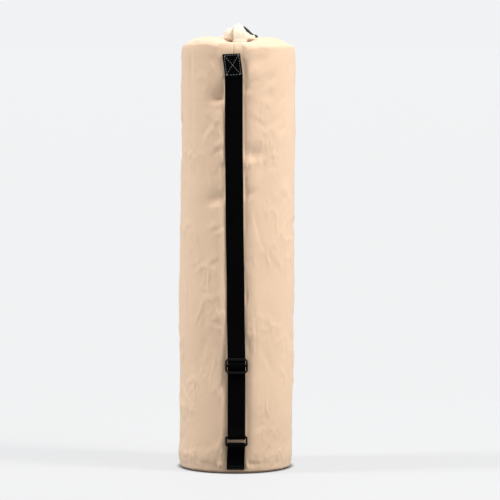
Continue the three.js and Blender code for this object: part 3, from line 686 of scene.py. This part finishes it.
def shellPlace(u, v):
    t = 2 * np.pi * u
    angle = t - bagSet["frontDensity"] * np.sin(t)
    row = np.rint(v * rows).astype(int)
    x, y, z = np.zeros_like(u), np.zeros_like(u), np.zeros_like(u)

    def stage(k):  # the rows of one stage, their angles and how far along it they are
        part = (row <= ends[k]) & (row > (ends[k - 1] if k else -1))
        return part, angle[part], (row[part] - (ends[k - 1] if k else 0)) / counts[k]

    # the foot, turned under round the base's edge
    part, a, share = stage(0)
    bend = np.radians(28 + 62 * share)
    wx, wy = wallPoint(np.full_like(a, bagSet["wallFoot"]), a)
    out = 1 - (1 - np.sin(bend)) * bagSet["footTurn"] / radius
    wave = 0.35 * np.sin(a * 17 + 1.0) + 0.25 * np.sin(a * 31)
    x[part], y[part] = wx * out, wy * out
    z[part] = bagSet["wallFoot"] * (1 - 0.94 * np.cos(bend)) + wave * (1 - share) * share * 2
    # the wall
    part, a, share = stage(1)
    height = bagSet["wallFoot"] + (rim - bagSet["wallFoot"]) * share**1.12
    wx, wy = wallPoint(height, a)
    relief = (reliefAt(a, height) + crumpleAt(wx, wy, height)) * stepped(height, 5.5, 14)
    ripple = 0.14 * np.sin(a * 46) + 0.18 * np.sin(a * 29 + 1.3)
    relief = relief + ripple * np.exp(-(((height - 15) / 9) ** 2))
    relief = relief * clearOfStrap(wx, wy, height)
    x[part], y[part], z[part] = wx + relief * np.sin(a), wy - relief * np.cos(a), height
    # the top
    part, a, share = stage(2)
    way = share**1.7
    full = np.full_like(way, rim)
    wx, wy = wallPoint(full, a)
    nx, ny, nz = neckPoint(np.zeros_like(way), a)
    toFront = np.maximum(np.cos(a), 0) ** 4
    toBack = np.maximum(-np.cos(a), 0) ** 2
    front, left, right, back, folds = [curvedColumn(topSections, way, k) for k in range(1, 6)]
    side = left + (right - left) * stepped(np.sin(a), -0.25, 0.25)
    rise = toFront * front + toBack * back + (1 - toFront - toBack) * side
    relief = (reliefAt(a, rim + 60 * way) + crumpleAt(wx, wy, full)) * (1 - stepped(way, 0, 0.3))
    relief = relief * clearOfStrap(wx, wy, full)
    x[part] = wx + relief * np.sin(a) + (nx - wx) * way
    y[part] = wy - relief * np.cos(a) + (ny - wy) * way
    valley = gatherAt(a)[0] / neckSet["radius"] - 0.72
    lift = neckSet["foldLift"] * folds * np.clip(valley * 2, -0.7, 0.5) * (1 - toFront)
    fan = np.abs(np.sin(a * topSet["pleats"] / 2 + 0.9 * np.sin(a * 3 + 1.0) + 0.6 * way))
    nearNeck = stepped(way, 0.85, 1)
    pleat = (0.35 - (1 - fan) ** 2.2) * stepped(way, 0.08, 0.6) * (1 - 0.6 * nearNeck)
    fine = (topSet["ripple"] * folds * np.sin(a * 23 + 2.0) + topSet["pleat"] * pleat) * (1 - toFront)
    z[part] = rim + bagSet["domeHeight"] * rise + lift + fine
    leftEdge = np.exp(-((turnFrom(a, -33) / 19) ** 2))  # where the wall stands higher
    pit = np.exp(-((turnFrom(a, -65) / 24) ** 2))  # the hollow beside the neck
    z[part] -= topSet["pit"] * pit * stepped(way, 0.55, 0.88) * (1 - stepped(way, 0.95, 1))
    z[part] += bagSet["leftRise"] * leftEdge * stepped(way, 0, 0.03) * (1 - stepped(way, 0.12, 0.85))
    crumple = topSet["crumple"] * crumpleAt(x[part], y[part], z[part])
    z[part] += crumple * stepped(way, 0.02, 0.2) * (1 - nearNeck)
    # the neck
    part, a, height = stage(3)
    nx, ny, nz = neckPoint(height, a)
    frontSheet = stepped(np.cos(a - 0.25), 0.62, 0.9)  # the front sheet has no hem across it
    swell = neckSet["hem"] * easedColumn(neckSections, height, 1) * (1 - 0.9 * frontSheet)
    pucker = (0.16 * np.sin(a * 37) + 0.2 * np.sin(a * 17 + 3 * height)) * stepped(height, 0.05, 0.3)
    sheetFolds = 0.55 * np.sin(a * 19 + 0.7 + 1.5 * height) * stepped(height, 0.1, 0.9)
    swell = swell + pucker * (1 - frontSheet) + sheetFolds * frontSheet
    x[part], y[part], z[part] = nx + swell * np.sin(a), ny - swell * np.cos(a), nz
    # the lip and the hem's inner side
    for k in (4, 5):
        part, a, share = stage(k)
        turn = np.pi * (share if k == 4 else 1)
        down = 0 if k == 4 else share
        tx, ty, tz = neckPoint(np.ones_like(a), a)
        inward = bagSet["lip"] * (1 - np.cos(turn)) - 0.5 * neckSet["hem"]
        tx, ty = tx - inward * np.sin(a), ty + inward * np.cos(a)
        x[part] = tx + (neckSet["right"] - tx) * 0.25 * down
        y[part] = ty + (neckSet["front"] - ty) * 0.25 * down
        z[part] = tz + bagSet["lip"] * np.sin(turn) - 20 * down * (0.35 + 0.65 * gatherAt(a)[3])
    # the inner side, plain because nothing shows it
    part, a, share = stage(6)
    across, down = np.minimum(share / 0.4, 1), np.maximum(share - 0.4, 0) / 0.6
    height = rim - 10 - (rim - 20) * down
    wx, wy = wallPoint(height, a)
    tx, ty, tz = neckPoint(np.ones_like(a), a)
    tx, ty = 0.75 * tx + 0.25 * neckSet["right"], 0.75 * ty + 0.25 * neckSet["front"]
    away = 1 - 7 / radius
    x[part], y[part] = tx + (wx * away - tx) * across, ty + (wy * away - ty) * across
    z[part] = height + (tz - 20 * (0.35 + 0.65 * gatherAt(a)[3]) - rim + 10) * (1 - across) ** 0.6
    # the seam that runs up the front from under the strap
    seam = (y < neckSet["front"]) & (z > 560) & (x > -12) & (x < 6)
    off = x - (seamSet["foot"] + (seamSet["top"] - seamSet["foot"]) * (z - 590) / 35)
    groove = seamSet["depth"] * np.exp(-((off / seamSet["width"]) ** 2))
    lap = seamSet["lap"] * stepped(off, 0.3, 1.6) * (1 - stepped(off, 4, 9))
    y += stepped(z, 585, 596) * (1 - stepped(z, 623, 631)) * seam * (groove - lap)
    return x, y, z


def makeShell():
    bm = gridSheet(bagSet["columns"], rows, shellPlace, (1 / mm, 1 / mm), closed=True)
    layer = bm.loops.layers.uv["cloth"]
    for face in bm.faces:  # the weave runs round and up the wall and the neck, and flat over the top
        low = min(loop[layer].uv.y for loop in face.loops) * rows
        kind = int(np.searchsorted(ends, low + 0.5))
        kind = 1 if kind == 2 and low < ends[1] + bagSet["edgeRows"] else kind
        around = (neckSet["radius"] if 3 <= kind <= 5 else radius) * mm
        for loop in face.loops:
            t, spot = 2 * math.pi * loop[layer].uv.x, loop.vert.co
            round_ = (t - bagSet["frontDensity"] * math.sin(t)) * around
            loop[layer].uv = (spot.x, spot.y) if kind == 2 else (round_, spot.z)
    # the rim, the rim away from the seam, and the lip: lowest and highest, how many times, clear of the seam
    for low, high, times, clear in ((0.59, 0.606, 2, 0), (0.59, 0.606, 3, 0.005), (0.617, 0.7, 2, 0)):
        edge = [
            v for v in bm.verts
            if low < v.co.z < high and (low > 0.6 or v.co.xy.length > 0.06) and abs(v.co.x + 0.002) > clear
        ]
        for k in range(times):
            bmesh.ops.smooth_vert(
                bm, verts=edge, factor=0.5, use_axis_x=True, use_axis_y=True, use_axis_z=True,
            )
    bmesh.ops.recalc_face_normals(bm, faces=bm.faces)
    return bm


canvasShell = newPiece("canvasShell", makeShell(), canvasCloth, ["canvas_shell"])
# painted highlight: the cloth near the top of the neck is made lighter, in place of the strong light that
# falls there
hemLightMask = canvasShell.data.attributes.new("paintedHemLight", "FLOAT", "POINT")
heights = np.empty(len(canvasShell.data.vertices) * 3)
canvasShell.data.vertices.foreach_get("co", heights)
heights = heights.reshape(-1, 3)
reach = np.hypot(heights[:, 0] - neckSet["right"] * mm, heights[:, 1] - neckSet["front"] * mm)
hemLight = stepped(heights[:, 2], 0.596, 0.626) * (1 - stepped(reach, 0.024, 0.04))
hemLightMask.data.foreach_set("value", 0.75 * hemLight)
print("canvas shell made")

# base panel: a flat disc with a turned up edge
baseSet = {  # millimetres
    "flatRadius": 74.0, "edgeReach": 4.9, "rise": 5.0, "cloth": 1.5, "steps": 8, "sides": 120,
}


def makeBase():
    bm = bmesh.new()
    flat, rise = baseSet["flatRadius"], baseSet["rise"]
    bends = [math.pi / 2 * k / baseSet["steps"] for k in range(baseSet["steps"] + 1)]
    outline = [(0.0, 0.0)]
    for sheet, order in ((0.0, bends), (baseSet["cloth"], bends[::-1])):  # the under side, then the upper
        for bend in order:
            reach = (baseSet["edgeReach"] - sheet) * math.sin(bend)
            outline.append((flat + reach, rise - (rise - sheet) * math.cos(bend)))
    outline.append((0.0, baseSet["cloth"]))
    vertices = [bm.verts.new((r * mm, 0, z * mm)) for r, z in outline]
    edges = [bm.edges.new(pair) for pair in zip(vertices, vertices[1:])]
    bmesh.ops.spin(
        bm, geom=vertices + edges, axis=(0, 0, 1), cent=(0, 0, 0), angle=2 * math.pi,
        steps=baseSet["sides"], use_merge=True,
    )
    bmesh.ops.remove_doubles(bm, verts=bm.verts, dist=1e-6)
    bmesh.ops.recalc_face_normals(bm, faces=bm.faces)
    return bm


newPiece("basePanel", makeBase(), canvasBase, ["base_panel"])
print("base panel made")

# webbing: the shoulder strap and the short web that holds the ring
webSet = {  # millimetres
    "width": 25.0, "thick": 1.3, "layerGap": 0.35, "top": 593.5, "boxLength": 30.0, "foot": 6.0,
    "sliderHeight": 154.0, "sliderTall": 22.2, "outerBar": 3.5, "barTall": 3.2, "barThick": 2.2,
    "barSetBack": 1.0, "ringHeight": 46.8, "ringTall": 14.7, "ringBar": 3.5, "ringSlack": 0.55,
    "tail": 12.0, "lift": 46.0,
    "fall": 20.0, "ease": 9.0, "wrapSlack": 0.5, "step": 2.0, "bendStep": 14,
    "across": 12,
}
pitch = webSet["thick"] + webSet["layerGap"]
firstLayer = webSet["layerGap"] + webSet["thick"] / 2
secondLayer = firstLayer + pitch
thirdLayer = secondLayer + pitch
sliderBack = thirdLayer + webSet["thick"] / 2 + webSet["layerGap"]
barFront = sliderBack + webSet["barThick"] / 2 - webSet["barSetBack"]
barReach = webSet["barThick"] / 2 + webSet["wrapSlack"] + webSet["thick"] / 2
overBar = barFront + barReach + pitch
ringReach = webSet["ringBar"] / 2 + webSet["ringSlack"] + webSet["thick"] / 2
ringFront = firstLayer + ringReach
slotTall = (webSet["sliderTall"] - 2 * webSet["outerBar"] - webSet["barTall"]) / 2
ringBarUp = webSet["ringTall"] / 2 - webSet["ringBar"] / 2


def arcPath(front, height, radiusFront, radiusHeight, start, end, steps=12):
    turns = [math.radians(start + (end - start) * k / steps) for k in range(steps + 1)]
    return [(front + radiusFront * math.cos(t), height + radiusHeight * math.sin(t)) for t in turns]


def evenPath(path, step):
    points = np.array(path, float)
    for k in range(2):  # rounds the corners
        inner = np.empty((2 * (len(points) - 1), 2))
        inner[0::2] = 0.8 * points[:-1] + 0.2 * points[1:]
        inner[1::2] = 0.2 * points[:-1] + 0.8 * points[1:]
        points = np.vstack([points[:1], inner, points[-1:]])
    run = runAlong(points)
    bend = np.zeros(len(points))
    ahead = np.diff(points, axis=0)
    turn = np.abs(np.diff(np.unwrap(np.arctan2(ahead[:, 1], ahead[:, 0]))))
    bend[1:-1] = turn
    turned = np.degrees(bend[1:] + bend[:-1]) / 2
    weight = np.concatenate([[0], np.cumsum(np.diff(run) / step + turned / webSet["bendStep"])])
    count = int(weight[-1]) + 1
    at = np.interp(np.linspace(0, weight[-1], count + 1), weight, run)
    return pointsAt(at, run, points), at


def bandPoint(off, height, front):  # a place across, up and out from the strap's bed
    lean = (strapX(height + 4) - strapX(height - 4)) / 8
    share = np.sqrt(1 + lean**2)
    return strapX(height) + off / share, -bedReach(height) - front, height - off * lean / share


def makeBand(path):
    line, run = evenPath(path, webSet["step"])
    rows = len(line) - 1

    def place(u, v):
        row = np.rint(v * rows).astype(int)
        return bandPoint((u - 0.5) * webSet["width"], line[row, 1], line[row, 0])

    bm = gridSheet(webSet["across"], rows, place, (webSet["width"], 1.0))
    layer = bm.loops.layers.uv["cloth"]
    for face in bm.faces:
        for loop in face.loops:
            row = int(round(loop[layer].uv.y / mm * rows))
            loop[layer].uv.y = run[min(row, rows)] * mm
    return bm


def strapPath():
    s = webSet
    thick, ring = s["thick"], s["ringHeight"]
    sliderTop = s["sliderHeight"] + s["sliderTall"] / 2
    sliderFoot = s["sliderHeight"] - s["sliderTall"] / 2
    barHalf = s["barTall"] / 2
    wrapReach = barHalf + s["wrapSlack"] + thick / 2
    wrapMiddle = (firstLayer + barFront + barReach) / 2
    crossing = barHalf + slotTall - thick / 2
    easing = slotTall / 2
    foldTop = s["top"] - pitch
    mid = s["sliderHeight"]
    return [
        (firstLayer, s["top"] - s["boxLength"]),
        (firstLayer, foldTop),
        *arcPath(firstLayer + pitch / 2, foldTop, pitch / 2, pitch / 2, 150, 30, 6),
        (secondLayer, foldTop),
        (secondLayer, s["top"] - s["boxLength"] - thick),
        (firstLayer, s["top"] - s["boxLength"] - s["ease"]),
        (firstLayer, sliderTop + s["lift"]),
        (thirdLayer, sliderTop + pitch),
        (thirdLayer, mid + crossing),
        (overBar - s["layerGap"], mid + easing),
        (overBar, mid + barHalf),
        (overBar, mid - barHalf),
        (overBar - s["layerGap"], mid - easing),
        (thirdLayer, mid - crossing),
        (thirdLayer, sliderFoot - s["tail"] / 2),
        (secondLayer, sliderFoot - s["fall"]),
        (secondLayer, ring + s["ringTall"] + s["ringBar"]),
        (ringFront + ringReach, ring + ringBarUp + s["ringBar"]),
        *arcPath(ringFront, ring + ringBarUp, ringReach, ringReach, 0, -180, 14),
        (firstLayer, ring + s["ringTall"]),
        (firstLayer, mid - barHalf),
        *arcPath(wrapMiddle, mid + s["wrapSlack"], barFront + barReach - wrapMiddle, wrapReach, 180, 0, 12),
        *arcPath(barFront, mid, barReach, wrapReach, -20, -100, 5),
        (secondLayer, mid - wrapReach - pitch),
        (secondLayer, mid - wrapReach - s["tail"]),
    ]


def anchorPath():
    s = webSet
    bar = s["ringHeight"] - ringBarUp
    return [
        (firstLayer, s["foot"]),
        (firstLayer, bar - s["ringBar"] / 4),
        *arcPath(ringFront, bar, ringReach, ringReach, 180, 0, 14),
        (ringFront + ringReach, bar - s["ringBar"]),
        (secondLayer, bar - s["ringTall"]),
        (secondLayer, s["foot"]),
    ]


def dressBand(piece):
    thickness = piece.modifiers.new("tape thickness", "SOLIDIFY")
    thickness.thickness = (webSet["thick"] - 0.15) * mm
    thickness.offset = 0
    rounded = piece.modifiers.new("tape edge", "BEVEL")
    rounded.width = 0.35 * mm
    rounded.segments = 2
    rounded.limit_method = "ANGLE"
    rounded.angle_limit = math.radians(60)


shoulderStrap = newPiece("shoulderStrap", makeBand(strapPath()), blackWebbing, ["shoulder_strap"])
dressBand(shoulderStrap)
anchorWeb = newPiece("anchorWeb", makeBand(anchorPath()), blackWebbing, ["anchor_web"])
dressBand(anchorWeb)
print("webbing made")

# stitches
threadSet = {  # millimetres
    "long": 2.4, "gap": 1.0, "thick": 0.55, "boxTop": 2.2, "boxFoot": 29.5, "boxHalf": 10.2,
    "anchorLow": 8.0, "anchorStep": 2.8, "anchorHalf": 10.5,
}
threadFront = secondLayer + webSet["thick"] / 2 + 0.02


def strapSpot(off, height):
    return Vector([float(value) for value in bandPoint(off, height, threadFront)])


def sew(bm, start, end, outward, thick=threadSet["thick"], long=threadSet["long"], gap=threadSet["gap"]):
    run = end - start
    count = max(int(run.length / (long + gap)), 1)
    along = run.normalized()
    across = along.cross(outward).normalized()
    for k in range(count):
        middle = start + run * ((k + 0.5) / count)
        made = bmesh.ops.create_uvsphere(bm, u_segments=6, v_segments=4, radius=1.0)
        for vertex in made["verts"]:
            c = vertex.co.copy()
            flat = across * (c.x * thick / 2) + outward * (c.y * thick / 2)
            vertex.co = (middle + along * (c.z * long / 2) + flat) * mm


def makeStrapStitches():
    bm = bmesh.new()
    top, foot = webSet["top"] - threadSet["boxTop"], webSet["top"] - threadSet["boxFoot"]
    half = threadSet["boxHalf"]
    corners = [strapSpot(*spot) for spot in ((-half, top), (half, top), (half, foot), (-half, foot))]
    outward = Vector((0, -1, 0))
    for a, b in ((0, 1), (1, 2), (2, 3), (3, 0), (0, 2), (1, 3)):
        sew(bm, corners[a], corners[b], outward)
    for spot in (corners[1], corners[3]):  # knots where the line starts and ends
        sew(bm, spot + Vector((-0.8, -0.2, 0)), spot + Vector((0.8, -0.2, 0)), outward, 1.1, 1.6, 0.1)
    return bm


def makeAnchorStitches():  # two rows that hold the short web to the seam
    bm = bmesh.new()
    half = threadSet["anchorHalf"]
    for level in (threadSet["anchorLow"], threadSet["anchorLow"] + threadSet["anchorStep"]):
        start, end = strapSpot(-half, level), strapSpot(half, level)
        sew(bm, start, end, Vector((0, -1, 0)))
    return bm


def makeHemStitches():  # round the neck, where the hem is sewn down
    mesh = canvasShell.data
    cloth = BVHTree.FromPolygons([v.co for v in mesh.vertices], [f.vertices for f in mesh.polygons])
    middle = Vector((neckSet["right"], neckSet["front"], 0)) * mm
    spots = []
    for k in range(hemSet["stitches"] * 2):
        angle = math.pi * k / hemSet["stitches"]
        outward = Vector((math.sin(angle), -math.cos(angle), 0))
        level = neckPoint(np.array([hemSet["height"]]), np.array([angle]))[2][0] * mm
        start = middle + outward * 0.032 + Vector((0, 0, level))
        place, normal = cloth.ray_cast(start, -outward, 0.024)[:2]
        spots.append((place, normal) if place else None)
    bm = bmesh.new()
    for a, b in zip(spots[0::2], spots[1::2]):
        if a and b and (a[0] - b[0]).length < 2.6 * mm:
            start, end, long = a[0] / mm + a[1] * 0.1, b[0] / mm + b[1] * 0.1, (a[0] - b[0]).length / mm
            sew(bm, start, end, a[1], hemSet["thick"], long, 0.0)
    return bm


hemSet = {"stitches": 46, "height": 0.17, "thick": 0.5}
newPiece("hemStitches", makeHemStitches(), canvasThread)
newPiece("strapStitches", makeStrapStitches(), greyThread)
newPiece("anchorStitches", makeAnchorStitches(), blackThread)
print("stitches made")

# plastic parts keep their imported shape
for name in ("strap_slider", "strap_ring", "cord_stop"):
    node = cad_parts[name]
    node.data.materials.clear()
    node.data.materials.append(blackPlastic)

# studio: a pale lit table and two soft suns
studioSet = {
    "floor": 400.0,
    "floorColour": (0.12, 0.12, 0.121),
    "floorGlow": 0.655,  # a lit table, so that shadows stay pale
    "floorBounce": 0.36,  # how much of that glow lights the bag
    "paintedShadowRing": (0.078, 0.086),  # metres from the middle; under the bag's edge the glow is cut away: a painted contact shadow on the floor
    "bounceStarts": (0.085, 0.3),
    "backdrop": (0.885, 0.89, 0.9),  # what the camera sees past the floor
    "fillFront": 0.52,  # light that comes from behind the camera
    "fillBack": 0.68,
}


def makeFloor():
    bm = bmesh.new()
    bmesh.ops.create_circle(bm, cap_ends=True, radius=studioSet["floor"], segments=96)
    mesh = bpy.data.meshes.new("floor")
    bm.to_mesh(mesh)
    bm.free()
    floor = bpy.data.objects.new("floor", mesh)
    scene.collection.objects.link(floor)
    material, nodes, links, shader = nodeMaterial("paleFloor")
    shader.inputs["Base Color"].default_value = (*studioSet["floorColour"], 1)
    shader.inputs["Roughness"].default_value = 0.8
    shader.inputs["Specular IOR Level"].default_value = 0.2
    shader.inputs["Emission Color"].default_value = (0.985, 0.99, 1, 1)
    distance = nodes.new("ShaderNodeVectorMath")
    distance.operation = "LENGTH"
    links.new(nodes.new("ShaderNodeTexCoord").outputs["Object"], distance.inputs[0])
    away = distance.outputs["Value"]
    bounce = mapRange(nodes, links, away, *studioSet["bounceStarts"], 0.0, studioSet["floorBounce"])
    # the glow the camera sees is cut under the bag's edge: a painted contact shadow
    seen = mapRange(nodes, links, away, *studioSet["paintedShadowRing"], 0.0, studioSet["floorGlow"])
    camera = nodes.new("ShaderNodeLightPath").outputs["Is Camera Ray"]
    links.new(mapRange(nodes, links, camera, 0.0, 1.0, bounce, seen), shader.inputs["Emission Strength"])
    mesh.materials.append(material)


def placeLamp(light, place, aim):
    lamp = bpy.data.objects.new(light.name, light)
    lamp.location = place
    lamp.rotation_euler = (Vector(aim) - Vector(place)).to_track_quat("-Z", "Y").to_euler()
    scene.collection.objects.link(lamp)


def softSun(name, turn, up, strength, spread, colour=(1, 1, 1)):  # turned to the right of the camera
    light = bpy.data.lights.new(name, "SUN")
    light.energy = strength
    light.angle = math.radians(spread)
    light.color = colour
    a, e = math.radians(turn), math.radians(up)
    placeLamp(light, (0, 0, 0), (-math.sin(a) * math.cos(e), math.cos(a) * math.cos(e), -math.sin(e)))


def softLight(name, place, aim, size, power):
    light = bpy.data.lights.new(name, "AREA")
    light.shape = "RECTANGLE"
    light.size, light.size_y = size
    light.energy = power
    placeLamp(light, place, aim)


makeFloor()
world = bpy.data.worlds.new("studio")
world.use_nodes = True
nodes, links = world.node_tree.nodes, world.node_tree.links
fill = nodes["Background"]
fill.inputs[0].default_value = (0.96, 0.98, 1.0, 1)
ray = nodes.new("ShaderNodeSeparateXYZ")
links.new(nodes.new("ShaderNodeTexCoord").outputs["Generated"], ray.inputs[0])
span = mapRange(nodes, links, ray.outputs[1], -1.0, 1.0, studioSet["fillFront"], studioSet["fillBack"])
links.new(span, fill.inputs[1])
backdrop = nodes.new("ShaderNodeBackground")
backdrop.inputs[0].default_value = (*studioSet["backdrop"], 1)
choose = nodes.new("ShaderNodeMixShader")
links.new(nodes.new("ShaderNodeLightPath").outputs["Is Camera Ray"], choose.inputs[0])
links.new(fill.outputs[0], choose.inputs[1])
links.new(backdrop.outputs[0], choose.inputs[2])
links.new(choose.outputs[0], nodes["World Output"].inputs[0])
scene.world = world
softSun("rightSun", 70, 47, 2.3, 12, (1.0, 0.985, 0.96))
softSun("leftSun", -82, 46, 2.4, 12)
softLight("upperRight", (0.8, -0.6, 1.3), (0.05, -0.04, 0.55), (0.5, 0.5), 6)
print("studio made")
